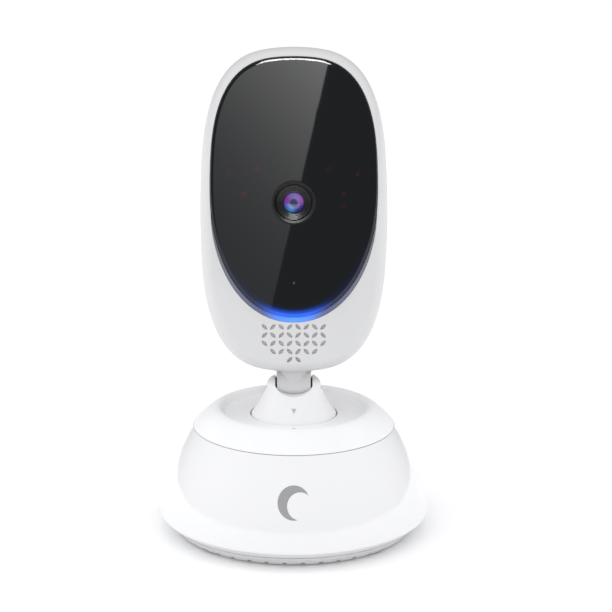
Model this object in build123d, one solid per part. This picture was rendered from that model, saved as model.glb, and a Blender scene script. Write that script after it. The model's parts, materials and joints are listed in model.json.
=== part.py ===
from build123d import *
import os
from math import cos, sin, pi, radians, sqrt

# Baby monitor camera: a weighted dome base, a yoke that pans on it, and an oval camera head that
# tilts in the yoke. Millimetres, +Z up, origin at the centre of the underside, front towards -Y.

# ---- base ----
dome_radius = 40.0          # widest ring of the base
dome_widest_z = 6.0
dome_bottom_z = 5.4         # lower edge of the glossy body
seam_z = 31.65              # joint between the glossy body and the matte top cover
seam_radius = 29.95
seam_gap = 0.2
seam_step = 0.9             # how far in from the outside the seam's shadow gap reaches
crest_radius = 22.5         # top of the rolled rim round the recess
crest_z = 37.3
wall = 2.2
recess_radius = 20.9
recess_z = 35.55
bore_rim_z = 35.2

# ---- foot ----
foot_bottom_z = 0.5
foot_plate_top_z = 2.7
foot_bottom_radius = 35.0
foot_notch_count = 42
pad_radius = 4.5
pad_ring_radius = 27.0
foot_screw_ring = 32.0
foot_screw_angles = (45, 135, 225, 315)
foot_groove_z = 3.5         # fine groove round the foot, above its notches

# ---- power inlet ----
jack_z = 15.0
inlet_radius = 4.6
inlet_depth = 2.6
inlet_face_y = 35.6

# ---- inside the base ----
cover_screw_ring = 19.0
cover_screw_angles = (90, 210, 330)

# ---- pan bearing ----
yoke_ring_radius = 12.6
yoke_ring_z = 35.3
yoke_ring_bore = 13.0
ledge_z = 33.6
ledge_bottom_z = 31.6
spindle_radius = 8.6
running_gap = 0.06
washer_thickness = 0.5
cable_bore = 3.0
retainer_radius = 11.5
retainer_screw_ring = 5.9

# ---- tilt joint ----
pivot_z = 44.0
rest_tilt = 12.0            # the head leans back this much at rest
neck_radius = 5.2
tongue_half = 4.95          # half width of the knuckle between the bushes
slot_half = 5.5             # half width of the slot between the yoke's ears
slot_floor_z = 42.5
slot_shoulder_z = 45.6
ear_top_z = 46.1
pin_radius = 1.5
bush_radius = 1.95
neck_plate_low = -42.8      # heights from the head's centre
neck_plate_high = -40.8
neck_screw_x = 7.2
neck_screw_y = 3.2

# ---- head, in its upright frame ----
head_half_width = 27.35
head_half_height = 47.4
head_power = 3.0            # exponent of the head's superellipse outline
head_centre_z = pivot_z + 51.65
head_front = 13.0
head_back = 16.0
head_wall = 2.0
front_round_depth = 9.0
front_round_inset = 3.4
back_round_inset = 14.0
parting_y = 2.0
parting_gap = 0.16

# ---- window panel ----
panel_half_width = 24.24
panel_widest = 5.5          # height of its widest line above the head's centre
panel_up = 38.7
panel_down = 36.6
panel_up_power = 2.85
panel_down_power = 2.1
panel_back = 12.0
panel_front = 15.4
panel_gap = 0.12
panel_edge_round = 1.1
panel_ledge = 1.8
crown_across = 190.0
crown_along = 520.0

# ---- light ring ----
ring_width = 1.4
ring_start = 6.3            # how far below the panel's widest line the crescent begins
ring_face = 13.05
ring_inner_face = 10.2

# ---- lens ----
lens_drop = 3.35            # lens centre below the panel's widest line
well_radius = 6.4
barrel_radius = 5.05
glass_radius = 3.2
ridge_count = 6             # fine steps round the front lens

# ---- speaker grille ----
grille_pitch_x = 2.43
grille_pitch_z = 2.39
grille_top = -33.9
grille_rows = (8, 8, 8, 6, 2)
leaf_length = 2.16
leaf_width = 1.0

# ---- speaker, behind the grille ----
speaker_z = -37.35
speaker_half_x = 10.6
speaker_half_z = 4.6
mesh_half_x = 9.5
mesh_low = -41.95
mesh_high = -33.1
mesh_y = -11.95
mesh_thickness = 0.15

# ---- controls and microphone ----
switch_z = -8.0
button_z = -20.0
pocket_y = 14.6             # floor of the pockets round the switch and the button
mic_z = -21.1
mic_boot_radius = 3.5

LED_PLACES = ((18.7, 10.5), (14.6, 4.8), (14.1, 1.4), (10.3, 11.8))
HEAD_SCREWS = ((22.3, 22.0), (21.3, -24.0))
BOARD_HOLES = [(x, z) for x in (-15.5, 15.5) for z in (-24.5, 27.5)]
BIG = 200.0


def save(name, shape):
    """Write one sub-part to its own STEP file."""
    export_step(shape, f"parts/{name}.step")


def turned(*lines):
    """A solid of revolution about Z from a closed section given as (radius, z) curves."""
    return revolve(Plane.XZ * make_face(Curve() + list(lines)), axis=Axis.Z)


def turned_polygon(*points):
    return turned(Polyline(*points, close=True))


def tube(outer, inner, low, high):
    """A ring about Z between two heights."""
    ring = Pos(0, 0, low) * Cylinder(outer, high - low, align=(Align.CENTER, Align.CENTER, Align.MIN))
    if inner:
        ring -= Pos(0, 0, low) * Cylinder(inner, high - low, align=(Align.CENTER, Align.CENTER, Align.MIN))
    return ring


def block(x0, x1, y0, y1, z0, z1):
    return Pos((x0 + x1) / 2, (y0 + y1) / 2, (z0 + z1) / 2) * Box(x1 - x0, y1 - y0, z1 - z0)


def rod_y(x, z, radius, y0, y1):
    """A round bar along Y, placed in the head's frame (z from the head's centre)."""
    bar = Cylinder(radius, y1 - y0)
    return Pos(x, (y0 + y1) / 2, head_centre_z + z) * Rot(X=90) * bar


def head_block(x0, x1, y0, y1, z0, z1):
    return block(x0, x1, y0, y1, head_centre_z + z0, head_centre_z + z1)


def lean(shape):
    """Turn a piece of the upright head about the tilt pins to the rest angle."""
    return Pos(0, 0, pivot_z) * Rot(X=-rest_tilt) * Pos(0, 0, -pivot_z) * shape


def save_head(name, shape):
    save(name, lean(shape))


def group(solids):
    return Compound([piece.solid() for piece in solids])


# ------------------------------------------------------------------ base

def dome_curve(inset):
    """The outside of the base, from the widest ring up to the crest of the rim, moved in by inset."""
    return Bezier(
        (dome_radius - inset, dome_widest_z),
        (dome_radius - inset, 21.4 - 0.4 * inset),
        (27.2 - 0.4 * inset, crest_z + 0.1 - inset),
        (crest_radius, crest_z - inset),
    )


def dome_solid(inset, bottom):
    """The dome filled in down to the height bottom."""
    curve = dome_curve(inset)
    top = crest_z - inset
    widest = dome_radius - inset
    return turned(
        curve,
        Line((crest_radius, top), (0, top)),
        Line((0, top), (0, bottom)),
        Line((0, bottom), (widest - 0.2, bottom)),
        Line((widest - 0.2, bottom), (widest, dome_widest_z)),
    )


def below(z):
    return block(-BIG, BIG, -BIG, BIG, -BIG, z)


def above(z):
    return block(-BIG, BIG, -BIG, BIG, z, BIG)


def base_body():
    shell = dome_solid(0, dome_bottom_z) & below(seam_z)
    shell -= dome_solid(wall, dome_bottom_z)
    for angle in foot_screw_angles:
        x = foot_screw_ring * cos(radians(angle))
        y = foot_screw_ring * sin(radians(angle))
        boss = Pos(x, y, 0) * tube(3.0, 0, dome_bottom_z + 0.1, 17.0)
        web = Rot(Z=angle) * block(foot_screw_ring + 2, 37.2, -1.2, 1.2, dome_bottom_z + 2.5, 14.0)
        shell += boss + web
        shell -= Pos(x, y, 0) * tube(1.25, 0, dome_bottom_z, 15.0)
    shell += block(-8, 8, 31.0, 38.0, 8.0, 22.0) & dome_solid(0.2, dome_bottom_z)
    shell -= block(-6.6, 6.6, inlet_face_y, 45.0, jack_z - 6, jack_z + 6)
    mouth = Rot(X=90) * Cylinder(inlet_radius, 2 * inlet_depth)
    shell -= Pos(0, inlet_face_y, jack_z) * mouth
    shell -= Pos(0, 33.0, jack_z) * Rot(X=90) * Cylinder(2.3, 8.0)
    return shell


def base_top_cover():
    cover = dome_solid(0, seam_z) & above(seam_z)
    cover -= tube(31.5, seam_radius - seam_step, seam_z - 0.1, seam_z + seam_gap)
    # rolled inner side of the rim and the shallow dished recess
    recess = turned(
        Line((0, crest_z + 1), (crest_radius, crest_z + 1)),
        Line((crest_radius, crest_z + 1), (crest_radius, crest_z)),
        ThreePointArc((crest_radius, crest_z), (21.45, 36.9), (recess_radius + 0.1, 36.05)),
        Line((recess_radius + 0.1, 36.05), (recess_radius - 0.4, recess_z)),
        Line((recess_radius - 0.4, recess_z), (yoke_ring_bore, bore_rim_z)),
        Line((yoke_ring_bore, bore_rim_z), (0, bore_rim_z)),
        Line((0, bore_rim_z), (0, crest_z + 1)),
    )
    cover -= recess
    cover -= tube(yoke_ring_bore, 0, ledge_z, crest_z)
    cover -= tube(spindle_radius + running_gap, 0, 20, crest_z)
    # locating skirt that drops inside the glossy body
    skirt_outer = seam_radius - wall - 1.2
    cover += tube(skirt_outer, skirt_outer - 1.6, seam_z - 2.2, ledge_bottom_z + 0.5)
    for angle in cover_screw_angles:
        x = cover_screw_ring * cos(radians(angle))
        y = cover_screw_ring * sin(radians(angle))
        cover += Pos(x, y, 0) * tube(2.6, 1.0, 27.4, ledge_bottom_z + 0.3)
    return cover


def cover_clamp():
    """Ring that pulls the cover down on the glossy body from inside."""
    ring = tube(22.0, 15.0, 25.8, 27.4)
    arms = Part()
    for angle in cover_screw_angles:
        ring -= Rot(Z=angle) * Pos(cover_screw_ring, 0, 0) * tube(1.1, 0, 25, 28)
        arms += Rot(Z=angle + 60) * block(20.0, 29.9, -4, 4, 25.8, 27.4)
    return (ring + arms) & dome_solid(wall + 0.1, dome_bottom_z)


def screw(head_radius, head_height, shaft_radius, length):
    """A pan-head screw pointing down -Z, its head resting on z = 0."""
    head = Pos(0, 0, head_height / 2) * Cylinder(head_radius, head_height)
    head = chamfer(head.edges().group_by(Axis.Z)[-1], head_height * 0.3)
    shaft = Pos(0, 0, -length / 2) * Cylinder(shaft_radius, length)
    body = head + shaft
    for turn in (0, 90):
        body -= Pos(0, 0, head_height) * Rot(Z=turn) * Box(head_radius * 1.1, head_radius * 0.28, head_height)
    return body


def cover_screws():
    one = Pos(0, 0, 25.8) * Rot(X=180) * screw(1.9, 1.3, 1.0, 4.6)
    return group([Rot(Z=a) * Pos(cover_screw_ring, 0, 0) * one for a in cover_screw_angles])


def foot_plate():
    plate = turned_polygon(
        (0, foot_bottom_z),
        (foot_bottom_radius - 0.4, foot_bottom_z),
        (foot_bottom_radius, foot_bottom_z + 0.3),
        (37.6, foot_groove_z - 0.2),
        (37.2, foot_groove_z),
        (37.85, foot_groove_z + 0.2),
        (39.2, dome_bottom_z - 0.02),
        (37.4, dome_bottom_z - 0.02),
        (37.4, 6.8),
        (35.7, 6.8),
        (35.7, foot_plate_top_z),
        (0, foot_plate_top_z),
    )
    notch = block(33.8, 37.0, -0.6, 0.6, 0, foot_bottom_z + 0.9)
    pitch = 360 / foot_notch_count
    cuts = [Rot(Z=pitch * (k + 0.5) - 90) * notch for k in range(foot_notch_count)]
    for angle in foot_screw_angles:
        place = Rot(Z=angle) * Pos(foot_screw_ring, 0, 0)
        plate += place * tube(3.4, 0, foot_plate_top_z - 0.1, dome_bottom_z - 0.02)
        cuts.append(place * tube(1.45, 0, 0, 8))
        cuts.append(place * tube(2.8, 0, 0, foot_bottom_z + 2.0))
        pad_place = Rot(Z=angle + 45) * Pos(pad_ring_radius, 0, 0)
        cuts.append(pad_place * tube(pad_radius + 0.1, 0, 0, foot_bottom_z + 0.6))
    return plate - cuts


def foot_screws():
    one = Pos(0, 0, foot_bottom_z + 2.0) * Rot(X=180) * screw(2.5, 1.5, 1.25, 11.0)
    return group([Rot(Z=a) * Pos(foot_screw_ring, 0, 0) * one for a in foot_screw_angles])


def rubber_feet():
    pad = tube(pad_radius, 0, 0, foot_bottom_z + 0.6)
    pad = chamfer(pad.edges().group_by(Axis.Z)[0], 0.3)
    return group([Rot(Z=a + 45) * Pos(pad_ring_radius, 0, 0) * pad for a in foot_screw_angles])


def ballast():
    ring = tube(28.4, 9.0, foot_plate_top_z, foot_plate_top_z + 4.6)
    return chamfer(ring.edges().group_by(Axis.Z)[-1], 0.5)


def base_board():
    board = block(-11, 11, 8.0, 30.0, 9.0, 10.6)
    board -= Pos(-8.5, 10.5, 0) * tube(1.1, 0, 8, 12)
    board -= Pos(8.5, 10.5, 0) * tube(1.1, 0, 8, 12)
    return board


def board_spacers():
    pillar = tube(2.2, 1.1, foot_plate_top_z + 4.6, 9.0)
    return group([Pos(x, 10.5, 0) * pillar for x in (-8.5, 8.5)])


def base_board_screws():
    one = Pos(0, 0, 10.6) * screw(1.9, 1.2, 1.1, 3.2)
    return group([Pos(x, 10.5, 0) * one for x in (-8.5, 8.5)])


def power_jack():
    jack = block(-4.5, 4.5, 20.0, 30.9, 10.6, jack_z + 3.6)
    jack += Pos(0, 31.5, jack_z) * Rot(X=90) * Cylinder(2.2, 2.8)
    jack -= Pos(0, 28.9, jack_z) * Rot(X=90) * Cylinder(1.75, 8.2)
    jack += Pos(0, 28.4, jack_z) * Rot(X=90) * Cylinder(0.55, 7.6)
    return jack


def regulator_parts():
    """The tall parts of the base's power board: a coil and two capacitors."""
    coil = block(-9.5, -5.5, 14.5, 19.0, 10.6, 13.4)
    cans = [Pos(x, 24.5, 0) * tube(1.7, 0, 10.6, 14.4) for x in (-8.4, 8.4)]
    return group([coil, *cans])


def cable(points, radii, radius):
    """A short internal lead: straight runs joined by arcs."""
    path = FilletPolyline(*points, radius=radii) if radii else Line(*points)
    start = Plane(origin=path @ 0, z_dir=path % 0)
    return sweep(start * Circle(radius), path=path)


def base_harness():
    return cable([(0, 11.0, 11.9), (0, 4.0, 11.9), (0, 0, 17.5), (0, 0, 30.6)], [3.0, 4.0], 1.2)


# ------------------------------------------------------------------ yoke

def yoke_bell():
    """The flared bell of the yoke, before its slot is cut."""
    return turned(
        Line((0, ear_top_z), (5.9, ear_top_z)),
        ThreePointArc((5.9, ear_top_z), (7.3, ear_top_z - 0.6), (7.95, ear_top_z - 2.2)),
        Bezier((7.95, ear_top_z - 2.2), (8.6, 40.9), (10.3, 38.4), (yoke_ring_radius - 0.15, yoke_ring_z)),
        Line((yoke_ring_radius - 0.15, yoke_ring_z), (yoke_ring_radius, yoke_ring_z - 0.25)),
        Line((yoke_ring_radius, yoke_ring_z - 0.25), (yoke_ring_radius, ledge_z + washer_thickness)),
        Line((yoke_ring_radius, ledge_z + washer_thickness), (spindle_radius, ledge_z + washer_thickness)),
        Line((spindle_radius, ledge_z + washer_thickness), (spindle_radius, ledge_bottom_z - 0.2)),
        Line((spindle_radius, ledge_bottom_z - 0.2), (0, ledge_bottom_z - 0.2)),
        Line((0, ledge_bottom_z - 0.2), (0, ear_top_z)),
    )


def yoke():
    bell = yoke_bell()
    slot_depth = slot_shoulder_z - slot_floor_z
    u_face = make_face(
        Curve()
        + [
            Line((-slot_half, slot_shoulder_z), (-slot_half, 60)),
            Line((-slot_half, 60), (slot_half, 60)),
            Line((slot_half, 60), (slot_half, slot_shoulder_z)),
            EllipticalCenterArc((0, slot_shoulder_z), slot_half, slot_depth, 180, arc_size=180),
        ]
    )
    bell -= extrude(Plane.XZ * u_face, 30, both=True)
    bell -= Pos(0, 0, pivot_z) * Rot(Y=90) * Cylinder(neck_radius + 0.4, 2 * slot_half)
    bell -= tube(cable_bore, 0, 30, 42)
    bell -= Pos(0, 0, pivot_z) * Rot(Y=90) * Cylinder(pin_radius, 30)
    for angle in cover_screw_angles:
        bell -= Rot(Z=angle) * Pos(retainer_screw_ring, 0, 0) * tube(0.9, 0, 30, 36.0)
    return bell


def pan_retainer():
    ring = tube(retainer_radius, cable_bore, ledge_bottom_z - 1.8, ledge_bottom_z - 0.2)
    for angle in cover_screw_angles:
        ring -= Rot(Z=angle) * Pos(retainer_screw_ring, 0, 0) * tube(0.9, 0, 25, 36)
    return ring


def retainer_screws():
    one = Pos(0, 0, ledge_bottom_z - 1.8) * Rot(X=180) * screw(1.7, 1.1, 0.9, 5.6)
    return group([Rot(Z=a) * Pos(retainer_screw_ring, 0, 0) * one for a in cover_screw_angles])


def pan_washer():
    return tube(yoke_ring_radius - 0.2, spindle_radius + 0.15, ledge_z + 0.03, ledge_z + washer_thickness)


def tilt_pins():
    """Two short steel pins, pressed in the ears, that the neck turns on."""
    length = 8.0 - 2.2
    pin = Rot(Y=90) * Cylinder(pin_radius, length)
    side = [Pos(s * (2.2 + length / 2), 0, pivot_z) * pin for s in (-1, 1)]
    return group([piece & yoke_bell() for piece in side])


def tilt_bushes():
    bush = Rot(Y=90) * (Cylinder(bush_radius, slot_half - tongue_half - 0.05) - Cylinder(pin_radius, 5))
    middle = (slot_half + tongue_half + 0.05) / 2
    return group([Pos(s * middle, 0, pivot_z) * bush for s in (-1, 1)])


def yoke_harness():
    return cable([(0, 0, 30.9), (0, 0, 38.2)], None, 1.2)


# ------------------------------------------------------------------ neck

def neck():
    top = head_centre_z + neck_plate_high
    column = tube(neck_radius, 0, pivot_z, top)
    knuckle = Pos(0, 0, pivot_z) * Rot(Y=90) * Cylinder(neck_radius, 2 * tongue_half)
    part = column + knuckle
    for side in (-1, 1):
        part -= Pos(side * (tongue_half + 5), 0, pivot_z - 5) * Box(10, 30, 10 + 2 * (bush_radius + 0.15))
    part += head_block(-9.5, 9.5, -3.6, 5.6, neck_plate_low, neck_plate_high)
    part -= Pos(0, 0, pivot_z) * Rot(Y=90) * Cylinder(pin_radius + running_gap, 30)
    part -= tube(1.5, 0, pivot_z - 10, top + 5)
    for side in (-1, 1):
        part -= Pos(side * neck_screw_x, neck_screw_y, 0) * tube(0.9, 0, top - 5, top + 5)
    return part


# ------------------------------------------------------------------ head

def superellipse_point(half_width, half_height, power, angle):
    c, s = cos(angle), sin(angle)
    x = half_width * abs(c) ** (2 / power) * (1 if c >= 0 else -1)
    z = half_height * abs(s) ** (2 / power) * (1 if s >= 0 else -1)
    return x, z


def even_angles(count):
    """Angles that spread points evenly round a superellipse, none on an axis."""
    return [2 * pi * (k + 0.5) / count for k in range(count)]


def oval_face(inset, y):
    """The head's outline drawn in by inset, as a face across the head at depth y."""
    points = [
        superellipse_point(head_half_width - inset, head_half_height - inset, head_power, a)
        for a in even_angles(28)
    ]
    outline = Spline([(x, z) for x, z in points], periodic=True)
    # the local normal of Plane.XZ is -Y
    return Plane.XZ.offset(-y) * make_face(outline)


def oval_slab(inset, y_front, y_back):
    """A flat plate of the head's outline drawn in by inset."""
    return Pos(0, 0, head_centre_z) * extrude(oval_face(inset, y_front), y_back - y_front, dir=(0, 1, 0))


def pebble(inset):
    """The rounded head form, drawn in by inset all over."""
    front_start = head_front - front_round_depth
    sections = []
    for step in (4, 3, 2, 1, 0):
        turn = pi / 2 * step / 4
        y = -(front_start + front_round_depth * sin(turn)) + inset
        sections.append(oval_face(inset + front_round_inset * (1 - cos(turn)), y))
    for step in (1, 2, 3, 4, 5, 6):
        turn = pi / 2 * step / 6
        y = head_back * sin(turn) - inset
        sections.append(oval_face(inset + back_round_inset * (1 - cos(turn)), y))
    return Pos(0, 0, head_centre_z) * loft(sections)


def panel_points(grow, count=40):
    """The window panel's outline, drawn out by grow."""
    points = []
    for angle in even_angles(count):
        power = panel_up_power if sin(angle) > 0 else panel_down_power
        height = panel_up if sin(angle) > 0 else panel_down
        points.append(superellipse_point(panel_half_width + grow, height + grow, power, angle))
    return points


def crescent_points(grow, count=56):
    """The panel's outline with the light ring's crescent added below."""
    points = []
    for angle in even_angles(count):
        power = panel_up_power if sin(angle) > 0 else panel_down_power
        height = panel_up if sin(angle) > 0 else panel_down
        x, z = superellipse_point(panel_half_width + grow, height + grow, power, angle)
        if z < -ring_start:
            share = (-z - ring_start) / (panel_down + grow - ring_start)
            width = ring_width * share ** 0.75
            normal = (x / panel_half_width ** 2, z / panel_down ** 2)
            size = sqrt(normal[0] ** 2 + normal[1] ** 2)
            x += width * normal[0] / size
            z += width * normal[1] / size
        points.append((x, z))
    return points


def slab(points, y_front, y_back):
    """A flat plate across the head, from outline points given about the panel's widest line."""
    outline = Spline(points, periodic=True)
    face = Plane.XZ.offset(-y_front) * make_face(outline)
    plate = extrude(face, y_back - y_front, dir=(0, 1, 0))
    return Pos(0, 0, head_centre_z + panel_widest) * plate


def lower_band():
    """The part of the head below the tips of the light ring."""
    return block(-BIG, BIG, -BIG, BIG, -BIG, head_centre_z + panel_widest - ring_start)


def leaf_face(turn):
    """One leaf-shaped opening: two arcs that meet in points."""
    half = leaf_length / 2
    upper = ThreePointArc((-half, 0), (0, leaf_width / 2), (half, 0))
    lower = ThreePointArc((half, 0), (0, -leaf_width / 2), (-half, 0))
    return Rot(Z=turn) * make_face(Curve() + [upper, lower])


def grille_cutters():
    """Rows of leaves, each turned a quarter from its neighbours."""
    cutters = []
    for row, count in enumerate(grille_rows):
        for column in range(count):
            across = column - (count - 1) / 2
            parity = int(across + 3.5) + row
            face = leaf_face(-45 if parity % 2 == 0 else 45)
            x = across * grille_pitch_x
            z = grille_top - row * grille_pitch_z
            face = Plane.XZ.offset(16) * Pos(x, z) * face
            # the last row lies below the speaker's pocket, so its leaves are blind
            depth = 4.1 if row == len(grille_rows) - 1 else 4.3
            cutters.append(Pos(0, 0, head_centre_z) * extrude(face, depth, dir=(0, 1, 0)))
    return cutters


def screw_places():
    return [(side * x, z) for x, z in HEAD_SCREWS for side in (-1, 1)]


def neck_way():
    """The hole in the bottom of the head that the neck comes through."""
    return tube(neck_radius + 0.1, 0, 40, head_centre_z - 40)


def speaker_pocket():
    """Thins the wall behind the grille, so that the cloth sits just behind its leaves."""
    half = mesh_half_x + 0.05
    return head_block(-half, half, mesh_y - 0.03, -9.5, mesh_low - 0.05, mesh_high + 0.05)


def head_front_shell():
    shell = (pebble(0) - pebble(head_wall)) & block(-BIG, BIG, -BIG, parting_y, 0, BIG)
    shell += [rod_y(x, z, 2.2, -11.5, parting_y) for x, z in screw_places()]
    # recess for the panel, its window, and the way through for the light ring
    cuts = [
        slab(panel_points(panel_gap), -20, -panel_back),
        slab(panel_points(-panel_ledge), -20, -5),
        slab(crescent_points(panel_gap), -20, -5) & lower_band(),
        neck_way(),
        speaker_pocket(),
    ]
    cuts += grille_cutters()
    cuts += [rod_y(x, z, 1.0, -9.0, 8) for x, z in screw_places()]
    return shell - cuts


def vent_cutters():
    """Ventilation slots high on the back."""
    cuts = []
    for k in range(5):
        z = 24.0 - 3.2 * k
        cuts.append(head_block(-9, 9, 8, 20, z, z + 1.2))
    return cuts


def head_rear_shell():
    shell = (pebble(0) - pebble(head_wall)) & block(-BIG, BIG, parting_y + parting_gap, BIG, 0, BIG)
    # lip that locates the rear shell inside the front one
    lip = oval_slab(head_wall + 0.55, 0.4, 5.0) - oval_slab(head_wall + 1.55, 0, 6)
    lip -= [rod_y(x, z, 2.7, -5, parting_y + parting_gap) for x, z in screw_places()]
    lip -= head_block(-12, 12, 0, 6, -50, -38)
    pillars = [rod_y(x, z, 3.0, parting_y + parting_gap, 12) for x, z in screw_places()]
    rails = []
    for side in (-1, 1):
        x = side * neck_screw_x
        low = head_centre_z + neck_plate_high
        rails.append(Pos(x, neck_screw_y, 0) * tube(2.2, 0, low, head_centre_z - 34))
        rails.append(head_block(x - 1.2, x + 1.2, neck_screw_y, 15, neck_plate_high, -34))
    inside = (Part() + pillars + rails) & pebble(0.4)
    # raised inner pads keep the wall thick round the switch and the button
    pads = [
        head_block(-7, 7, 12.0, 14.5, switch_z - 4, switch_z + 4),
        rod_y(0, button_z, 5.5, 12.0, 14.5),
    ]
    shell = shell + [lip, inside] + pads
    cuts = vent_cutters() + [neck_way()]
    for x, z in screw_places():
        cuts.append(rod_y(x, z, 1.15, 0, 20))
        cuts.append(rod_y(x, z, 2.3, 5.5, 20))
    cuts.append(head_block(-5.2, 5.2, pocket_y, 20, switch_z - 2.4, switch_z + 2.4))
    cuts.append(head_block(-3.4, 3.4, 10, 20, switch_z - 1.4, switch_z + 1.4))
    cuts.append(rod_y(0, button_z, 4.3, pocket_y, 20))
    cuts.append(rod_y(0, button_z, 2.9, 10, 20))
    for side in (-1, 1):
        low = head_centre_z + neck_plate_high - 0.1
        cuts.append(Pos(side * neck_screw_x, neck_screw_y, 0) * tube(0.9, 0, low, head_centre_z - 35.5))
    return shell - cuts


def head_screws():
    one = Rot(X=-90) * screw(2.1, 1.5, 1.0, 13.5)
    pieces = []
    for x, z in HEAD_SCREWS:
        for side in (-1, 1):
            pieces.append(Pos(side * x, 5.5, head_centre_z + z) * one)
    return group(pieces)


def neck_screws():
    one = Rot(X=180) * screw(1.6, 1.0, 0.9, 7.0)
    low = head_centre_z + neck_plate_low
    return group([Pos(side * neck_screw_x, neck_screw_y, low) * one for side in (-1, 1)])


def crown():
    """The barrel-shaped form whose front is the panel's gently crowned face."""
    front = -panel_front
    centre = head_centre_z + panel_widest
    half = 60.0
    drop = crown_along - sqrt(crown_along ** 2 - half ** 2)
    depth = crown_across
    arc = ThreePointArc((depth - drop, centre - half), (depth, centre), (depth - drop, centre + half))
    face = make_face(
        Curve()
        + [
            arc,
            Line((depth - drop, centre + half), (0, centre + half)),
            Line((0, centre + half), (0, centre - half)),
            Line((0, centre - half), (depth - drop, centre - half)),
        ]
    )
    barrel = revolve(Plane.XZ * face, axis=Axis.Z)
    return Pos(0, front + crown_across, 0) * barrel


def front_panel():
    blank = slab(panel_points(0), -25, -panel_back)
    panel = blank & crown()
    rim = [e for e in panel.edges() if e.center().Y < -panel_back - 0.2]
    panel = fillet(rim, panel_edge_round)
    panel -= rod_y(0, lens_z(), well_radius, -30, 0)
    panel -= rod_y(0, mic_z, 0.35, -30, 0)
    return panel


def lens_z():
    return panel_widest - lens_drop


def light_ring():
    face = slab(crescent_points(0), -ring_face, -ring_inner_face) & lower_band()
    face -= slab(panel_points(panel_gap), -20, -panel_back)
    face -= slab(panel_points(-panel_ledge + 0.1), -20, -5)
    return face


def lens_bezel():
    """Stepped dark ring that lines the hole in the panel."""
    z = lens_z()
    bezel = rod_y(0, z, well_radius - 0.05, -14.9, -10.6)
    bezel += rod_y(0, z, 8.0, -11.9, -10.6)
    cone = Pos(0, -13.9, head_centre_z + z) * Rot(X=90) * Cone(barrel_radius + 0.1, well_radius - 0.35, 3.0)
    bezel -= cone
    bezel -= rod_y(0, z, barrel_radius + 0.1, -20, 0)
    return bezel


def lens_barrel():
    z = lens_z()
    barrel = rod_y(0, z, barrel_radius, -13.4, -5.2)
    for step in range(ridge_count):
        barrel -= rod_y(0, z, barrel_radius - 0.3 - 0.25 * step, -14, -13.2 + 0.18 * step)
    barrel -= rod_y(0, z, glass_radius, -14, -5.0)
    return barrel


def front_lens():
    z = lens_z()
    ball = Pos(0, -12.9 + 4.2, head_centre_z + z) * Sphere(4.2)
    return ball & rod_y(0, z, glass_radius, -14, -10.2)


def rear_lens():
    z = lens_z()
    return rod_y(0, z, glass_radius, -9.0, -7.6)


def ir_filter():
    z = lens_z()
    return head_block(-3.5, 3.5, -5.0, -4.6, z - 3.5, z + 3.5)


def lens_holder():
    z = lens_z()
    holder = head_block(-7, 7, -7.5, -2.2, z - 7, z + 7)
    holder -= rod_y(0, z, barrel_radius, -10, -5.2)
    holder -= head_block(-5, 5, -5.2, 0, z - 5, z + 5)
    return holder


def image_sensor():
    z = lens_z()
    return head_block(-4.2, 4.2, -3.4, -2.2, z - 4.2, z + 4.2)


def main_board():
    board = head_block(-18, 18, -2.2, -0.6, -27, 30)
    for x, z in BOARD_HOLES:
        board -= rod_y(x, z, 1.1, -5, 3)
    return board


def board_posts():
    """Four spacers that hold the main board off the front shell's LED board."""
    return group([rod_y(x, z, 2.0, -9.0, -2.2) - rod_y(x, z, 1.0, -20, 5) for x, z in BOARD_HOLES])


def board_screws():
    one = Rot(X=-90) * screw(1.9, 1.2, 1.0, 7.0)
    return group([Pos(x, -0.6, head_centre_z + z) * one for x, z in BOARD_HOLES])


def led_board():
    board = head_block(-20.3, 20.3, -10.2, -9.0, -7, 17) + head_block(-17.4, 17.4, -10.2, -9.0, -26.4, 29.4)
    board -= rod_y(0, lens_z(), 8.2, -20, 0)
    board -= rod_y(0, mic_z, mic_boot_radius + 0.1, -20, 0)
    for x, z in BOARD_HOLES:
        board -= rod_y(x, z, 1.0, -20, 5)
    return board


def ir_leds():
    leds = []
    for x, z in LED_PLACES:
        for side in (-1, 1):
            base = rod_y(side * x, z, 1.5, -10.9, -10.2)
            dome = Pos(side * x, -10.7, head_centre_z + z) * Sphere(1.15)
            leds.append(base + (dome & rod_y(side * x, z, 1.5, -12, -10.2)))
    return group(leds)


def light_sensor():
    return head_block(-1.6, 1.6, -11.2, -10.2, 18.5, 21.0)


def ring_leds():
    places = ((-10.4, -22.6), (0.0, -25.55), (10.4, -22.6))
    return group([head_block(x - 1.3, x + 1.3, -11.0, -10.2, z - 0.7, z + 0.7) for x, z in places])


def microphone():
    return rod_y(0, mic_z, 3.0, -10.4, -8.2)


def microphone_boot():
    boot = rod_y(0, mic_z, mic_boot_radius, -11.9, -7.6)
    boot -= rod_y(0, mic_z, 3.0, -10.4, -5)
    boot -= rod_y(0, mic_z, 0.8, -20, -5)
    return boot


def racetrack(half_x, half_z, y0, y1, z):
    """An upright plate with round ends."""
    straight = half_x - half_z
    plate = head_block(-straight, straight, y0, y1, z - half_z, z + half_z)
    for side in (-1, 1):
        plate += rod_y(side * straight, z, half_z, y0, y1)
    return plate


def speaker_mesh():
    return head_block(-mesh_half_x, mesh_half_x, mesh_y, mesh_y + mesh_thickness, mesh_low, mesh_high)


def speaker_gasket():
    """Foam frame between the cloth and the speaker."""
    front = mesh_y + mesh_thickness
    frame = head_block(-mesh_half_x, mesh_half_x, front, -9.8, mesh_low, mesh_high)
    return frame - head_block(-mesh_half_x + 1, mesh_half_x - 1, -13, -9, mesh_low + 1, mesh_high - 1)


def speaker():
    basket = racetrack(speaker_half_x, speaker_half_z, -9.8, -6.6, speaker_z)
    basket -= racetrack(speaker_half_x - 1.4, speaker_half_z - 1.4, -10, -8.4, speaker_z)
    return basket + racetrack(6.4, 3.2, -6.6, -4.6, speaker_z)


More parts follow.
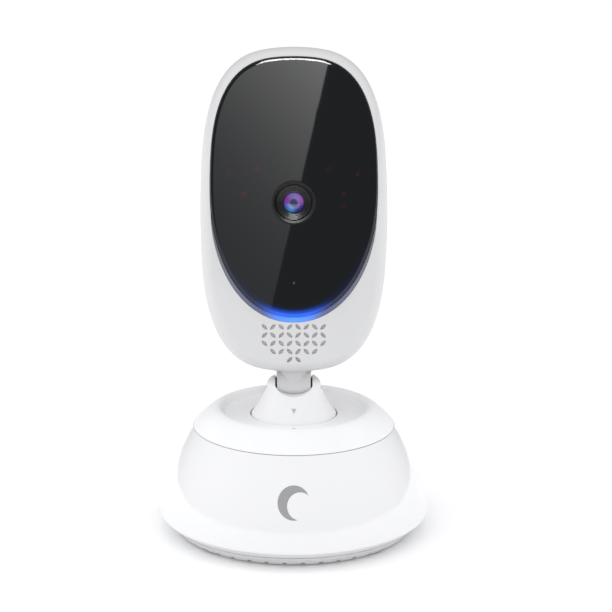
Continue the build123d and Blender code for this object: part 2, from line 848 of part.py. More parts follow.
def speaker_cone():
    cone = racetrack(speaker_half_x - 1.5, speaker_half_z - 1.5, -9.2, -8.9, speaker_z)
    return cone + racetrack(3.4, 2.0, -8.9, -8.5, speaker_z)


def processor_shield():
    can = head_block(-11, 11, -0.6, 2.2, 6, 24)
    return can - head_block(-10.6, 10.6, -1, 1.8, 6.4, 23.6)


def heat_pad():
    return head_block(-6, 6, 2.2, 3.4, 10, 20)


def antenna():
    return head_block(-12, 12, -0.2, 0.6, 34.0, 39.5)


def antenna_lead():
    c = head_centre_z
    route = [(8, 0.2, c + 34.0), (8, 0.2, c + 31.4), (8, 2.0, c + 29.4), (8, 2.0, c + 25.2)]
    return cable(route, [0.9, 0.9], 0.55)


def harness_connector():
    return head_block(-4, 4, -0.6, 3.6, -25.5, -20.5)


def head_harness():
    c = head_centre_z
    route = [(0, 0, pivot_z - 4.6), (0, 0, c - 38.0), (0, 1.8, c - 32.5), (0, 1.8, c - 25.5)]
    return cable(route, [6.0, 6.0], 1.2)


# ------------------------------------------------------------------ controls

def power_switch_body():
    return head_block(-4.8, 4.8, 7.2, 11.6, switch_z - 2.6, switch_z + 2.6)


def power_switch_knob():
    knob = head_block(-2.3, 0.3, 11.8, 15.6, switch_z - 1.25, switch_z + 1.25)
    return chamfer(knob.edges().group_by(Axis.Y)[-1], 0.3)


def pair_switch_body():
    return head_block(-3.0, 3.0, 6.4, 9.2, button_z - 3.0, button_z + 3.0)


def pair_button():
    cap = rod_y(0, button_z, 2.75, 11.9, 15.5)
    cap = fillet(cap.edges().group_by(Axis.Y)[-1], 0.5)
    cap += rod_y(0, button_z, 4.6, 10.6, 11.9)
    return cap + rod_y(0, button_z, 1.2, 9.9, 10.6)


def control_board():
    return head_block(-8, 8, 5.2, 6.4, -26.0, -3.0) - head_block(-5.5, 5.5, 5, 7, -19, -18.4)


def control_posts():
    return group([rod_y(s * 6.4, z, 1.3, -0.6, 5.2) for s in (-1, 1) for z in (-19.0, -4.6)])


BASE_PARTS = (
    base_body, base_top_cover, cover_clamp, cover_screws, foot_plate, foot_screws, rubber_feet, ballast,
    base_board, board_spacers, base_board_screws, power_jack, regulator_parts, base_harness,
    yoke, pan_retainer, retainer_screws, pan_washer, tilt_pins, tilt_bushes, yoke_harness,
)
HEAD_PARTS = (
    neck, head_front_shell, head_rear_shell, head_screws, neck_screws, front_panel, light_ring, lens_bezel,
    lens_barrel, front_lens, rear_lens, ir_filter, lens_holder, image_sensor, main_board, board_posts,
    board_screws, led_board, ir_leds, light_sensor, ring_leds, microphone, microphone_boot, speaker_mesh,
    speaker_gasket, speaker, speaker_cone, processor_shield, heat_pad, antenna, antenna_lead,
    harness_connector, head_harness, power_switch_body, power_switch_knob, pair_switch_body, pair_button,
    control_board, control_posts,
)

os.makedirs("parts", exist_ok=True)
for make in BASE_PARTS:
    save(make.__name__, make())
for make in HEAD_PARTS:
    save_head(make.__name__, make())
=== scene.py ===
"""Looks for the baby monitor camera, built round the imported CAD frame."""

import json
import math

import bmesh
import bpy
from mathutils import Matrix, Vector
from mathutils.bvhtree import BVHTree


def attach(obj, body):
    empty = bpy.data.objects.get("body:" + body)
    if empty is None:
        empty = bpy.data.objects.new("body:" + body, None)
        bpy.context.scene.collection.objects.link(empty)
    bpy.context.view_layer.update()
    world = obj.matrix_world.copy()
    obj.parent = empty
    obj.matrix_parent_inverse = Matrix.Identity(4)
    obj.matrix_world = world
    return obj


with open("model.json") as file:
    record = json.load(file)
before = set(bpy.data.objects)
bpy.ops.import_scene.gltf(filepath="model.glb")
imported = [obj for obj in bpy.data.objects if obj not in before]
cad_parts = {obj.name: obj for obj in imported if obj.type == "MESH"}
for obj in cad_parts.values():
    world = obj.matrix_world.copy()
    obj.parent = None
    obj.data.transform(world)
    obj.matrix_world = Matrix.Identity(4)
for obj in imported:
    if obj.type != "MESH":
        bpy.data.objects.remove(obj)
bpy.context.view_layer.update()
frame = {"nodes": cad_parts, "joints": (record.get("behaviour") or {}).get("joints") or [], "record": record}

MM = 0.001
RIGHT = Vector((1, 0, 0))
BACK = Vector((0, 1, 0))
UP = Vector((0, 0, 1))

# ---- the head's own upright frame, leaned back about the tilt pins ----
REST_TILT = math.radians(12.0)
PIVOT = Vector(next(j["pos_m"] for j in frame["joints"] if j["name"] == "tilt"))
HEAD_CENTRE = PIVOT + 51.65 * MM * UP

# ---- the window panel's lower outline, a superellipse, in metres from the head's centre ----
PANEL_WIDEST_Z = 5.5 * MM
PANEL_DOWN = 36.6 * MM
PANEL_HALF_WIDTH = 24.24 * MM
PANEL_POWER = 2.1

# ---- what shows through or in the panel, in metres from the head's centre ----
LAMPS = [(x * MM, z * MM) for x, z in ((18.7, 10.5), (14.6, 4.8), (14.1, 1.4), (10.3, 11.8))]
LENS_Z = 2.15 * MM
LENS_RADIUS = 3.2 * MM
RIDGE_PITCH = 0.5 * MM
CLOTH_PITCH = 0.32 * MM

# ---- glow colours ----
RING_BLUE = (0.006, 0.115, 0.90)
LAMP_RED = (0.9, 0.03, 0.04)

# ---- printed marks ----
PRINT_LIFT = 0.03 * MM
CRESCENT_Z = 19.9 * MM
CRESCENT_RADIUS = 4.6 * MM
POINTER_Z = 39.4 * MM
POINTER_HALF_WIDTH = 0.75 * MM
POINTER_HEIGHT = 1.3 * MM
HOME_Y = -16.0 * MM
HOME_HALF_SIZE = (0.62 * MM, 0.42 * MM)

# ---- studio, in metres and watts ----
WORLD_DIFFUSE = 0.83
WORLD_GLOSS = 0.24
FLOOR_HALF = 6.0
SUN_STRENGTH = 0.72
SOFTBOX_SIZE = (1.0, 0.8)
SOFTBOX_AIM = Vector((0, 0, 0.08))
SOFTBOXES = (
    ("left_box", Vector((-1.05, 0.15, 0.42)), 2.2),
    ("right_box", Vector((1.05, 0.15, 0.42)), 2.0),
    ("front_box", Vector((-0.20, -1.1, 0.55)), 1.2),
)
CARD_SIZE = (0.8, 2.0)
CARD_EDGE_FOOT = Vector((0.035, -1.6, 0.453))
CARD_LEAN = math.radians(26)
CARD_POWER = 4.8
STRIP_SIZE = (0.56, 0.62)
STRIP_PLACE = Vector((0.005, -0.55, 1.00))
STRIP_AIM = Vector((0, 0, 0.15))
STRIP_POWER = 27.0
WINDOW_PARTS = ("front_panel", "lens_bezel", "lens_barrel")

# ---- camera ----
CAMERA_PLACE = Vector((0, -0.650, 0.2421))
CAMERA_DOWN = math.radians(15.0)
CAMERA_LENS = 134.82
CAMERA_SENSOR = 36.0
CAMERA_SHIFT = 0.0199


# ------------------------------------------------------------------ node helpers

class Nodes:
    """A small helper that builds one material's node tree."""

    def __init__(self, name):
        self.material = bpy.data.materials.new(name)
        self.material.use_nodes = True
        self.tree = self.material.node_tree
        self.tree.nodes.clear()
        self.output = self.tree.nodes.new("ShaderNodeOutputMaterial")

    def new(self, kind, **settings):
        node = self.tree.nodes.new(kind)
        for key, value in settings.items():
            setattr(node, key, value)
        return node

    def link(self, source, target):
        self.tree.links.new(source, target)

    def shader(self, color, roughness, **sockets):
        """The material's principled shader. sockets are more inputs, with _ for a space."""
        bsdf = self.new("ShaderNodeBsdfPrincipled")
        bsdf.inputs["Base Color"].default_value = (*color, 1)
        bsdf.inputs["Roughness"].default_value = roughness
        for name, value in sockets.items():
            bsdf.inputs[name.replace("_", " ")].default_value = value
        self.link(bsdf.outputs["BSDF"], self.output.inputs["Surface"])
        return bsdf

    def place(self):
        """The object coordinates, in metres in the shared frame."""
        return self.new("ShaderNodeTexCoord").outputs["Object"]

    def noise(self, scale, detail=2.0, roughness=0.5, place=None):
        node = self.new("ShaderNodeTexNoise")
        node.inputs["Scale"].default_value = scale
        node.inputs["Detail"].default_value = detail
        node.inputs["Roughness"].default_value = roughness
        self.link(place or self.place(), node.inputs["Vector"])
        return node.outputs["Fac"]

    def remap(self, value, low, high, to_low, to_high, smooth=False):
        node = self.new("ShaderNodeMapRange")
        node.interpolation_type = "SMOOTHSTEP" if smooth else "LINEAR"
        node.inputs["From Min"].default_value = low
        node.inputs["From Max"].default_value = high
        node.inputs["To Min"].default_value = to_low
        node.inputs["To Max"].default_value = to_high
        self.link(value, node.inputs["Value"])
        return node.outputs["Result"]

    def ramp(self, value, stops):
        """A colour ramp through the (position, colour) stops."""
        node = self.new("ShaderNodeValToRGB")
        elements = node.color_ramp.elements
        while len(elements) < len(stops):
            elements.new(0.5)
        for element, (position, color) in zip(elements, stops):
            element.position = position
            element.color = (*color, 1)
        self.link(value, node.inputs["Fac"])
        return node.outputs["Color"]

    def math(self, operation, a, b=None):
        node = self.new("ShaderNodeMath", operation=operation)
        for socket, value in zip(node.inputs, (a, b)):
            if isinstance(value, (int, float)):
                socket.default_value = value
            elif value is not None:
                self.link(value, socket)
        return node.outputs["Value"]

    def length(self, a, b):
        """The length of the flat vector (a, b)."""
        squares = self.math("ADD", self.math("MULTIPLY", a, a), self.math("MULTIPLY", b, b))
        return self.math("SQRT", squares)

    def mix(self, share, first, second):
        node = self.new("ShaderNodeMix", data_type="RGBA")
        self.link(share, node.inputs["Factor"])
        for socket, value in ((node.inputs[6], first), (node.inputs[7], second)):
            if isinstance(value, tuple):
                socket.default_value = (*value, 1)
            else:
                self.link(value, socket)
        return node.outputs[2]

    def multiply(self, first, second):
        """The product of two colours."""
        node = self.new("ShaderNodeMix", data_type="RGBA", blend_type="MULTIPLY")
        node.inputs["Factor"].default_value = 1.0
        self.link(first, node.inputs[6])
        self.link(second, node.inputs[7])
        return node.outputs[2]

    def bump(self, bsdf, height, strength, distance):
        node = self.new("ShaderNodeBump")
        node.inputs["Strength"].default_value = strength
        node.inputs["Distance"].default_value = distance
        self.link(height, node.inputs["Height"])
        self.link(node.outputs["Normal"], bsdf.inputs["Normal"])

    def upright(self):
        """Object coordinates turned into the head's own upright frame, from its centre."""
        turned = self.new("ShaderNodeVectorRotate", rotation_type="X_AXIS")
        turned.inputs["Center"].default_value = PIVOT
        turned.inputs["Angle"].default_value = REST_TILT
        self.link(self.place(), turned.inputs["Vector"])
        moved = self.new("ShaderNodeVectorMath", operation="SUBTRACT")
        moved.inputs[1].default_value = HEAD_CENTRE
        self.link(turned.outputs["Vector"], moved.inputs[0])
        apart = self.new("ShaderNodeSeparateXYZ")
        self.link(moved.outputs["Vector"], apart.inputs["Vector"])
        return apart.outputs["X"], apart.outputs["Y"], apart.outputs["Z"]


# ------------------------------------------------------------------ white and grey plastics

def moulded(name, color, roughness, grain=0.12, grain_scale=5200.0):
    """Satin moulded plastic: faint spark-eroded grain, slow colour and gloss variation."""
    n = Nodes(name)
    bsdf = n.shader(color, roughness)
    place = n.place()
    slow = n.noise(60.0, 2.0, 0.5, place)
    darker = tuple(c * 0.975 for c in color)
    n.link(n.mix(n.remap(slow, 0.35, 0.65, 0, 1), darker, color), bsdf.inputs["Base Color"])
    n.link(n.remap(slow, 0.3, 0.7, roughness - 0.03, roughness + 0.03), bsdf.inputs["Roughness"])
    n.bump(bsdf, n.noise(grain_scale, 2.0, 0.6, place), grain, 0.06 * MM)
    return n.material


def glossy_shell():
    """Polished white plastic with the slight waviness of a moulded gloss surface."""
    n = Nodes("glossy_shell")
    bsdf = n.shader((0.83, 0.83, 0.845), 0.12, Coat_Weight=0.6, Coat_Roughness=0.03, Coat_IOR=1.5)
    place = n.place()
    wave = n.noise(28.0, 1.0, 0.4, place)
    fine = n.noise(900.0, 2.0, 0.5, place)
    n.link(n.remap(fine, 0.35, 0.65, 0.10, 0.15), bsdf.inputs["Roughness"])
    n.bump(bsdf, wave, 0.12, 0.4 * MM)
    return n.material


# ------------------------------------------------------------------ window panel and light ring

def blue_glow(n, x, z):
    """How strongly the ring's light shows in the panel: a band low down and a tint up the sides."""
    side = n.math("ABSOLUTE", x)
    drop = n.math("MAXIMUM", n.math("SUBTRACT", PANEL_WIDEST_Z, z), 0.0)
    across = n.math("POWER", n.math("DIVIDE", side, PANEL_HALF_WIDTH), PANEL_POWER)
    down = n.math("POWER", n.math("DIVIDE", drop, PANEL_DOWN), PANEL_POWER)
    # reach is 1 on the panel's lower outline and less inside it
    reach = n.math("POWER", n.math("ADD", across, down), 1 / PANEL_POWER)
    band = n.remap(reach, 0.930, 0.990, 0.0, 1.0, smooth=True)
    middle = n.remap(side, 3.5 * MM, 12.0 * MM, 1.0, 0.0, smooth=True)
    edge = n.remap(reach, 0.90, 1.0, 0.0, 1.0)
    low = n.remap(z, -8 * MM, -26 * MM, 0.0, 0.05)
    return n.math("ADD", n.math("MULTIPLY", band, middle), n.math("MULTIPLY", edge, low))


def painted_lamp_glow(n, x, z):
    """Faint grainy specks of painted red glow where the infrared lamps sit behind the panel."""
    side = n.math("ABSOLUTE", x)
    specks = 0.0
    for lamp_x, lamp_z in LAMPS:
        apart = n.length(n.math("SUBTRACT", side, lamp_x), n.math("SUBTRACT", z, lamp_z))
        spot = n.remap(apart, 0.3 * MM, 1.5 * MM, 1.0, 0.0, smooth=True)
        specks = n.math("MAXIMUM", specks, spot)
    return n.math("MULTIPLY", specks, n.remap(n.noise(900.0), 0.48, 0.62, 0.0, 1.0))


def smoked_panel():
    """Near-black acrylic, polished, with the ring's blue light and the lamps' red specks painted into it as
    glow.
    """
    n = Nodes("smoked_panel")
    bsdf = n.shader((0.004, 0.0048, 0.006), 0.03, IOR=1.5)
    x, _, z = n.upright()
    glow = blue_glow(n, x, z)
    red = painted_lamp_glow(n, x, z)
    share = n.math("DIVIDE", red, n.math("ADD", n.math("ADD", red, glow), 1e-4))
    # painted light: the ring's blue and the lamps' red glow come from the panel's own emission
    n.link(n.mix(share, RING_BLUE, LAMP_RED), bsdf.inputs["Emission Color"])
    n.link(n.math("ADD", glow, n.math("MULTIPLY", red, 0.035)), bsdf.inputs["Emission Strength"])
    n.bump(bsdf, n.noise(40.0, 1.0, 0.4), 0.02, 0.2 * MM)
    return n.material


def ring_light():
    """Frosted diffuser: bright blue at the bottom, fading to grey lavender up both sides."""
    n = Nodes("ring_light")
    bsdf = n.shader((0.30, 0.31, 0.36), 0.42)
    x, _, _ = n.upright()
    side = n.math("ABSOLUTE", x)
    color = n.ramp(n.remap(side, 0.0, 24.5 * MM, 0.0, 1.0), (
        (0.0, (0.070, 0.255, 0.98)),
        (0.20, (0.075, 0.195, 0.66)),
        (0.36, (0.110, 0.125, 0.26)),
        (0.75, (0.175, 0.180, 0.235)),
        (1.0, (0.200, 0.202, 0.225)),
    ))
    n.link(color, bsdf.inputs["Base Color"])
    n.link(color, bsdf.inputs["Emission Color"])
    strength = n.remap(side, 3.5 * MM, 13.0 * MM, 0.60, 0.03, smooth=True)
    n.link(strength, bsdf.inputs["Emission Strength"])
    n.bump(bsdf, n.noise(4000.0, 2.0, 0.6), 0.15, 0.05 * MM)
    return n.material


# ------------------------------------------------------------------ lens

def painted_lens_reflections():
    """Coated front element: painted lilac, violet and cyan reflections, drawn as glow in rings round a dark
    pupil.
    """
    n = Nodes("painted_lens_reflections")
    bsdf = n.shader((0.02, 0.02, 0.05), 0.02, Coat_Weight=1.0, Coat_Roughness=0.01, Coat_IOR=1.7)
    x, _, z = n.upright()
    rise = n.math("SUBTRACT", z, LENS_Z)
    # once round, anticlockwise: 0 at the left, 0.25 below, 0.5 at the right, 0.75 above
    around = n.remap(n.math("ARCTAN2", rise, x), -math.pi, math.pi, 0.0, 1.0)
    hues = n.ramp(around, (
        (0.0, (0.30, 0.07, 0.52)),
        (0.11, (0.08, 0.32, 0.75)),
        (0.19, (0.10, 0.42, 0.82)),
        (0.30, (0.03, 0.06, 0.42)),
        (0.42, (0.10, 0.05, 0.40)),
        (0.52, (0.50, 0.16, 0.60)),
        (0.66, (0.46, 0.27, 0.70)),
        (0.80, (0.30, 0.24, 0.62)),
        (0.92, (0.36, 0.06, 0.42)),
        (1.0, (0.30, 0.07, 0.52)),
    ))
    # from the middle to the rim
    rings = n.ramp(n.math("DIVIDE", n.length(x, rise), LENS_RADIUS), (
        (0.0, (0.05, 0.05, 0.08)),
        (0.26, (0.10, 0.10, 0.18)),
        (0.38, (0.60, 0.55, 0.75)),
        (0.46, (1.0, 1.0, 1.0)),
        (0.56, (0.60, 0.60, 0.80)),
        (0.70, (0.95, 0.95, 1.0)),
        (0.84, (0.60, 0.60, 0.80)),
        (0.94, (0.12, 0.12, 0.20)),
        (1.0, (0.02, 0.02, 0.04)),
    ))
    # painted reflections: the hue and ring colours glow from the lens as emission
    n.link(n.multiply(hues, rings), bsdf.inputs["Emission Color"])
    bsdf.inputs["Emission Strength"].default_value = 0.62
    return n.material


def ridged_barrel():
    """Black lens barrel: a shallow dish with fine turned ridges, which catches a glint low down."""
    n = Nodes("ridged_barrel")
    bsdf = n.shader((0.004, 0.004, 0.005), 0.25, Specular_IOR_Level=0.42)
    x, _, z = n.upright()
    radius = n.length(x, n.math("SUBTRACT", z, LENS_Z))
    wave = n.math("SINE", n.math("MULTIPLY", radius, 2 * math.pi / RIDGE_PITCH))
    ridges = n.math("MULTIPLY", wave, RIDGE_PITCH * 0.08)
    dish = n.math("MULTIPLY", radius, 0.34)
    n.bump(bsdf, n.math("ADD", dish, ridges), 1.0, 1.0)
    return n.material


def well_lining():
    """Glossy black ring round the lens, rounded over towards the front."""
    n = Nodes("well_lining")
    bsdf = n.shader((0.006, 0.006, 0.007), 0.24, Specular_IOR_Level=0.32)
    _, y, _ = n.upright()
    fine = n.noise(3000.0, 2.0, 0.5)
    n.link(n.remap(fine, 0.35, 0.65, 0.20, 0.25), bsdf.inputs["Roughness"])
    n.bump(bsdf, n.math("MULTIPLY", y, 1.9), 1.0, 1.0)
    return n.material


# ------------------------------------------------------------------ metals, board and cloth

def metal(name, color, roughness, grain=1800.0):
    n = Nodes(name)
    bsdf = n.shader(color, roughness, Metallic=1.0)
    fine = n.noise(grain, 3.0, 0.6)
    n.link(n.remap(fine, 0.3, 0.7, roughness - 0.06, roughness + 0.08), bsdf.inputs["Roughness"])
    n.bump(bsdf, fine, 0.08, 0.03 * MM)
    return n.material


def circuit_board():
    n = Nodes("circuit_board")
    bsdf = n.shader((0.02, 0.10, 0.045), 0.35)
    tracks = n.remap(n.noise(420.0, 0.0, 0.0), 0.49, 0.52, 0, 1)
    n.link(n.mix(tracks, (0.012, 0.07, 0.03), (0.03, 0.14, 0.06)), bsdf.inputs["Base Color"])
    n.bump(bsdf, tracks, 0.2, 0.03 * MM)
    return n.material


def dust_mesh():
    """Woven cloth behind the grille, from two crossed waves."""
    n = Nodes("dust_mesh")
    bsdf = n.shader((0.30, 0.30, 0.31), 0.8, Sheen_Weight=0.2)
    x, _, z = n.upright()
    turns = 2 * math.pi / CLOTH_PITCH
    warp = n.math("SINE", n.math("MULTIPLY", x, turns))
    weft = n.math("SINE", n.math("MULTIPLY", z, turns))
    weave = n.remap(n.math("MULTIPLY", warp, weft), -1, 1, 0, 1)
    n.link(n.mix(weave, (0.62, 0.62, 0.63), (0.85, 0.85, 0.86)), bsdf.inputs["Base Color"])
    n.bump(bsdf, weave, 0.4, 0.08 * MM)
    return n.material


# ------------------------------------------------------------------ giving the CAD its materials

def slot_materials():
    """One material for each of the record's material slots."""
    return {
        "gloss_white": glossy_shell(),
        "matte_white": moulded("satin_white", (0.87, 0.87, 0.872), 0.46),
        "neck_plastic": moulded("neck_white", (0.66, 0.66, 0.662), 0.40),
        "foot_plastic": moulded("foot_white", (0.70, 0.70, 0.705), 0.50),
        "smoked_acrylic": smoked_panel(),
        "frosted_diffuser": ring_light(),
        "black_plastic": moulded("black_satin", (0.018, 0.018, 0.020), 0.38),
        "grey_plastic": moulded("grey_satin", (0.34, 0.34, 0.345), 0.45),
        "lens_glass": painted_lens_reflections(),
        "rubber": moulded("rubber", (0.045, 0.045, 0.047), 0.75, grain=0.3, grain_scale=2600.0),
        "steel": metal("zinc_steel", (0.62, 0.62, 0.64), 0.32),
        "ballast_iron": metal("cast_ballast", (0.30, 0.30, 0.31), 0.6, 700.0),
        "brass": metal("turned_brass", (0.72, 0.52, 0.22), 0.3),
        "circuit_board": circuit_board(),
        "ir_emitter": moulded("ir_emitter", (0.20, 0.02, 0.04), 0.15, grain=0.02),
        "blue_led": moulded("blue_led", (0.25, 0.45, 0.95), 0.3, grain=0.02),
        "mesh_cloth": dust_mesh(),
        "lead_jacket": moulded("lead_jacket", (0.70, 0.70, 0.69), 0.5),
    }


def dress():
    """Give every CAD node its slot's material, or its own where it differs within the slot; the head shells
    get a darker copy of the satin white as painted shade.
    """
    by_slot = slot_materials()
    slots = {s["node"]: s["material_slot"] for s in frame["record"]["subparts"]}
    # painted shade: the head shells take a darker copy of the satin white, so the head reads greyer than the
    # base
    shaded_head_white = moulded("shaded_head_white", (0.66, 0.66, 0.662), 0.36, grain=0.10)
    own = {
        "head_front_shell": shaded_head_white,
        "head_rear_shell": shaded_head_white,
        "lens_bezel": well_lining(),
        "lens_barrel": ridged_barrel(),
    }
    for name, node in frame["nodes"].items():
        node.data.materials.clear()
        node.data.materials.append(own.get(name) or by_slot[slots[name]])


# ------------------------------------------------------------------ printed marks

def tidy_mesh(mesh):
    """Weld doubled corners and turn every face outwards."""
    grid = bmesh.new()
    grid.from_mesh(mesh)
    bmesh.ops.remove_doubles(grid, verts=grid.verts, dist=1e-6)
    bmesh.ops.dissolve_degenerate(grid, edges=grid.edges, dist=1e-7)
    bmesh.ops.recalc_face_normals(grid, faces=grid.faces)
    grid.to_mesh(mesh)
    grid.free()


def mesh_piece(name, verts, faces, material, body):
    mesh = bpy.data.meshes.new(name)
    mesh.from_pydata([tuple(v) for v in verts], [], faces)
    mesh.update()
    mesh.materials.append(material)
    for polygon in mesh.polygons:
        polygon.use_smooth = True
    tidy_mesh(mesh)
    piece = bpy.data.objects.new(name, mesh)
    bpy.context.scene.collection.objects.link(piece)
    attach(piece, body)


def surface(node):
    """A ray-casting tree of a CAD node's mesh."""
    mesh = frame["nodes"][node].data
    return BVHTree.FromPolygons([v.co for v in mesh.vertices], [tuple(p.vertices) for p in mesh.polygons])


def closed_grid(rows, columns):
    """The faces of a thin closed sheet: a front grid, the same grid behind it, and its edges."""
    behind = rows * columns

    def corner(row, column):
        return row * columns + column

    faces = []
    for row in range(rows - 1):
        for column in range(columns - 1):
            left, right = corner(row, column), corner(row, column + 1)
            quad = (left, right, right + columns, left + columns)
            faces.append(quad)
            faces.append(tuple(behind + k for k in reversed(quad)))
    outline = [corner(0, c) for c in range(columns)]
    outline += [corner(r, columns - 1) for r in range(1, rows)]
    outline += [corner(rows - 1, c) for c in range(columns - 2, -1, -1)]
    outline += [corner(r, 0) for r in range(rows - 2, 0, -1)]
    for a, b in zip(outline, outline[1:] + outline[:1]):
        faces.append((b, a, behind + a, behind + b))
    return faces


def printed(name, grid, start, up, node, material, body):
    """A thin printed mark: rows of flat (u, v) points about start, laid on a CAD surface."""
    toward = up.cross(RIGHT)
    tree = surface(node)
    verts = []
    for lift in (PRINT_LIFT, -PRINT_LIFT):
        for row in grid:
            for u, v in row:
                hit, normal, _, _ = tree.ray_cast(start + RIGHT * u + up * v, toward)
                if normal.dot(toward) > 0:
                    normal = -normal
                verts.append(hit + normal * lift)
    mesh_piece(name, verts, closed_grid(len(grid), len(grid[0])), material, body)


def crescent_mark(material):
    """A plain crescent moon printed on the front of the base."""
    bite_radius = 0.80 * CRESCENT_RADIUS
    bite_shift = 0.42 * CRESCENT_RADIUS
    turn = math.radians(-25)
    # the outer and inner arcs meet at the horns
    meet = (CRESCENT_RADIUS**2 - bite_radius**2 + bite_shift**2) / (2 * bite_shift)
    outer_end = math.acos(meet / CRESCENT_RADIUS)
    inner_end = math.acos((meet - bite_shift) / bite_radius)
    steps, rows = 64, 6
    grid = []
    for row in range(rows + 1):
        inward = row / rows
        points = []
        for k in range(steps + 1):
            outer = outer_end + (2 * math.pi - 2 * outer_end) * k / steps
            inner = inner_end + (2 * math.pi - 2 * inner_end) * k / steps
            outer_u = CRESCENT_RADIUS * math.cos(outer)
            outer_v = CRESCENT_RADIUS * math.sin(outer)
            inner_u = bite_shift + bite_radius * math.cos(inner)
            inner_v = bite_radius * math.sin(inner)
            u = (1 - inward) * outer_u + inward * inner_u
            v = (1 - inward) * outer_v + inward * inner_v
            points.append((u * math.cos(turn) - v * math.sin(turn), u * math.sin(turn) + v * math.cos(turn)))
        grid.append(points)
    start = Vector((0, -60 * MM, CRESCENT_Z))
    printed("base_mark", grid, start, UP, "base_body", material, "base")


def pointer_mark(material):
    """A small pointer triangle printed on the front of the turning yoke."""
    rows = 4
    grid = []
    for row in range(rows + 1):
        share = row / rows
        half = POINTER_HALF_WIDTH * (1 - 0.94 * share)
        grid.append([(u, -share * POINTER_HEIGHT) for u in (-half, 0, half)])
    start = Vector((0, -30 * MM, POINTER_Z))
    printed("yoke_pointer", grid, start, UP, "yoke", material, "yoke")


def home_mark(material):
    """A small oval dot on the recess floor that the pointer meets at rest."""
    rows, steps = 3, 20
    half_u, half_v = HOME_HALF_SIZE
    angles = [2 * math.pi * k / steps for k in range(steps + 1)]
    grid = []
    for row in range(rows + 1):
        share = 0.04 + 0.96 * row / rows
        grid.append([(half_u * share * math.cos(a), half_v * share * math.sin(a)) for a in angles])
    start = Vector((0, HOME_Y, 60 * MM))
    printed("home_dot", grid, start, BACK, "base_top_cover", material, "base")


# ------------------------------------------------------------------ stage

def stage_floor():
    n = Nodes("floor")
    bsdf = n.shader((0.93, 0.93, 0.93), 0.9, Specular_IOR_Level=0.0, Emission_Strength=0.04)
    bsdf.inputs["Emission Color"].default_value = (1, 1, 1, 1)
    shade = n.mix(n.remap(n.noise(3.0), 0.3, 0.7, 0, 1), (0.925, 0.925, 0.925), (0.935, 0.935, 0.935))
    n.link(shade, bsdf.inputs["Base Color"])
    corners = [(x * FLOOR_HALF, y * FLOOR_HALF, 0) for x, y in ((-1, -1), (1, -1), (1, 1), (-1, 1))]
    mesh = bpy.data.meshes.new("floor")
    mesh.from_pydata(corners, [], [(0, 1, 2, 3)])
    mesh.materials.append(n.material)
    floor = bpy.data.objects.new("floor", mesh)
    bpy.context.scene.collection.objects.link(floor)


# ------------------------------------------------------------------ light

def studio_world():
    """Even light for matt surfaces, a dim room for gloss to reflect, white behind the floor."""
    world = bpy.data.worlds.new("studio")
    bpy.context.scene.world = world
    world.use_nodes = True
    tree = world.node_tree
    background = tree.nodes["Background"]
    background.inputs["Color"].default_value = (0.98, 0.985, 1.0, 1)
    path = tree.nodes.new("ShaderNodeLightPath")
    gloss = tree.nodes.new("ShaderNodeMapRange")
    gloss.inputs["To Min"].default_value = WORLD_DIFFUSE
    gloss.inputs["To Max"].default_value = WORLD_GLOSS
    tree.links.new(path.outputs["Is Glossy Ray"], gloss.inputs["Value"])
    seen = tree.nodes.new("ShaderNodeMath")
    seen.operation = "MAXIMUM"
    tree.links.new(path.outputs["Is Camera Ray"], seen.inputs[0])
    tree.links.new(gloss.outputs["Result"], seen.inputs[1])
    tree.links.new(seen.outputs["Value"], background.inputs["Strength"])


def overhead_sun():
    """A very soft sun that only matt surfaces see."""
    data = bpy.data.lights.new("overhead", "SUN")
    data.energy = SUN_STRENGTH
    data.angle = math.radians(75)
    sun = bpy.data.objects.new("overhead", data)
    sun.rotation_euler = (math.radians(16), math.radians(-6), 0)
    sun.visible_glossy = False
    bpy.context.scene.collection.objects.link(sun)


def facing(place, aim):
    """The turn that points a lamp at place towards aim."""
    return (aim - place).to_track_quat("-Z", "Y").to_matrix()


def area_light(name, place, turn, size, power, gloss_only=False):
    """A rectangular softbox that shines along its own -Z. Either gloss or matt surfaces see it."""
    data = bpy.data.lights.new(name, "AREA")
    data.shape = "RECTANGLE"
    data.size, data.size_y = size
    data.energy = power
    light = bpy.data.objects.new(name, data)
    bpy.context.scene.collection.objects.link(light)
    light.matrix_world = Matrix.Translation(place) @ turn.to_4x4()
    light.visible_camera = False
    light.visible_glossy = gloss_only
    light.visible_diffuse = not gloss_only
    return light


def fade_along(data, low, high, power, full_at):
    """Make a softbox brighter towards its upper end, full at the share full_at of its height."""
    data.use_nodes = True
    tree = data.node_tree
    emission = next(n for n in tree.nodes if n.type == "EMISSION")
    geometry = tree.nodes.new("ShaderNodeNewGeometry")
    split = tree.nodes.new("ShaderNodeSeparateXYZ")
    curve = tree.nodes.new("ShaderNodeMath")
    curve.operation = "POWER"
    curve.inputs[1].default_value = power
    fade = tree.nodes.new("ShaderNodeMapRange")
    fade.inputs["From Max"].default_value = full_at ** power
    fade.inputs["To Min"].default_value = low
    fade.inputs["To Max"].default_value = high
    tree.links.new(geometry.outputs["Parametric"], split.inputs["Vector"])
    tree.links.new(split.outputs["Y"], curve.inputs[0])
    tree.links.new(curve.outputs["Value"], fade.inputs["Value"])
    tree.links.new(fade.outputs["Result"], emission.inputs["Strength"])


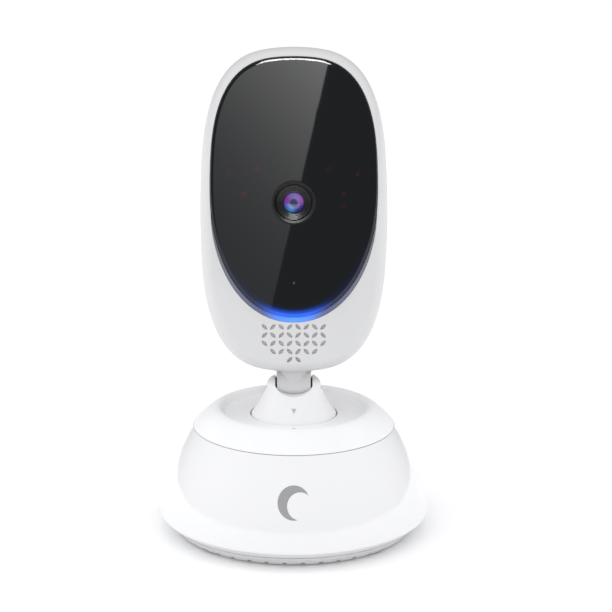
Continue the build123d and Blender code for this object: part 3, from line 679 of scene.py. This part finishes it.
def only_on(light, nodes):
    """Keep a light off everything but these CAD nodes."""
    receivers = bpy.data.collections.new(light.name + "_receivers")
    for node in nodes:
        receivers.objects.link(frame["nodes"][node])
    light.light_linking.receiver_collection = receivers


def panel_card():
    """A tall leaning card whose right edge makes the slanting line down the window."""
    along = Vector((math.sin(CARD_LEAN), 0, math.cos(CARD_LEAN)))
    across = Vector((math.cos(CARD_LEAN), 0, -math.sin(CARD_LEAN)))
    turn = Matrix((across, along, across.cross(along))).transposed()
    width, height = CARD_SIZE
    place = CARD_EDGE_FOOT + along * height / 4 - across * width / 2
    card = area_light("panel_card", place, turn, CARD_SIZE, CARD_POWER, gloss_only=True)
    fade_along(card.data, 0.42, 9.0, 2.4, 0.7)
    only_on(card, WINDOW_PARTS)


def top_strip():
    """A bright box overhead that draws the highlight along the window's top edge."""
    turn = facing(STRIP_PLACE, STRIP_AIM)
    strip = area_light("top_strip", STRIP_PLACE, turn, STRIP_SIZE, STRIP_POWER, gloss_only=True)
    only_on(strip, WINDOW_PARTS)


def lights():
    studio_world()
    overhead_sun()
    for name, place, power in SOFTBOXES:
        area_light(name, place, facing(place, SOFTBOX_AIM), SOFTBOX_SIZE, power)
    panel_card()
    top_strip()


# ------------------------------------------------------------------ camera and colour

def camera():
    data = bpy.data.cameras.new("camera")
    data.sensor_width = CAMERA_SENSOR
    data.lens = CAMERA_LENS
    data.shift_x = CAMERA_SHIFT
    obj = bpy.data.objects.new("camera", data)
    obj.location = CAMERA_PLACE
    obj.rotation_euler = (math.radians(90) - CAMERA_DOWN, 0, 0)
    bpy.context.scene.collection.objects.link(obj)
    bpy.context.scene.camera = obj


def look():
    scene = bpy.context.scene
    scene.view_settings.view_transform = "Standard"
    scene.view_settings.look = "None"


camera()
lights()
look()
stage_floor()
dress()
crescent_mark(moulded("mark_ink", (0.33, 0.33, 0.335), 0.35, grain=0.02))
faint_ink = moulded("faint_ink", (0.52, 0.52, 0.525), 0.4, grain=0.02)
pointer_mark(faint_ink)
home_mark(faint_ink)
